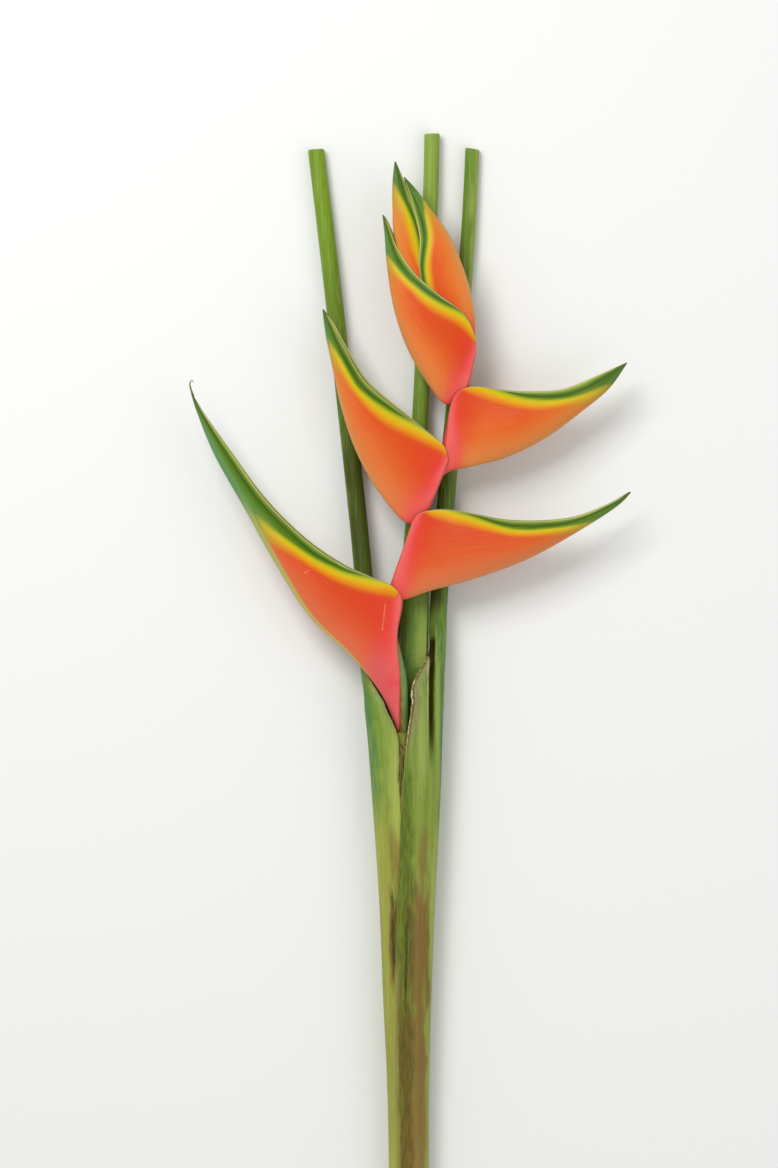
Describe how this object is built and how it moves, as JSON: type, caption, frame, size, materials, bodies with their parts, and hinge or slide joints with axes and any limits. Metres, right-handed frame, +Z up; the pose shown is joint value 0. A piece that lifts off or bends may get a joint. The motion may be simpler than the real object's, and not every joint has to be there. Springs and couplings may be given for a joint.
{
  "type": "lobster claw heliconia",
  "caption": "Cut heliconia stem lying on its back, with zigzag claw-shaped bracts in red-orange, yellow and green and leaf stalks wrapped round its stem and cut off above.",
  "frame": {"origin": "centre of the bounding box's footprint, on the surface that the stem lies on", "axes": "+Y along the stem from its cut foot to the cut ends of the leaf stalks, +Z up out of the surface towards the viewer, +X to the viewer's right"},
  "size_m": [0.398, 1.0402, 0.0619],
  "materials": {
    "flower_stalk": "smooth, slightly waxy",
    "bract": "waxy, red-orange with a yellow and green margin",
    "leaf_stalk": "smooth, slightly waxy, finely ribbed"
  },
  "bodies": {
    "root": {"flower_stalk": "flower_stalk", "bract_1": "bract", "bract_2": "bract", "bract_3": "bract", "bract_4": "bract", "bract_5": "bract", "bract_6": "bract", "bract_7": "bract", "leaf_stalk_right": "leaf_stalk", "leaf_stalk_left": "leaf_stalk", "leaf_stalk_middle": "leaf_stalk"}
  },
  "joints": []
}
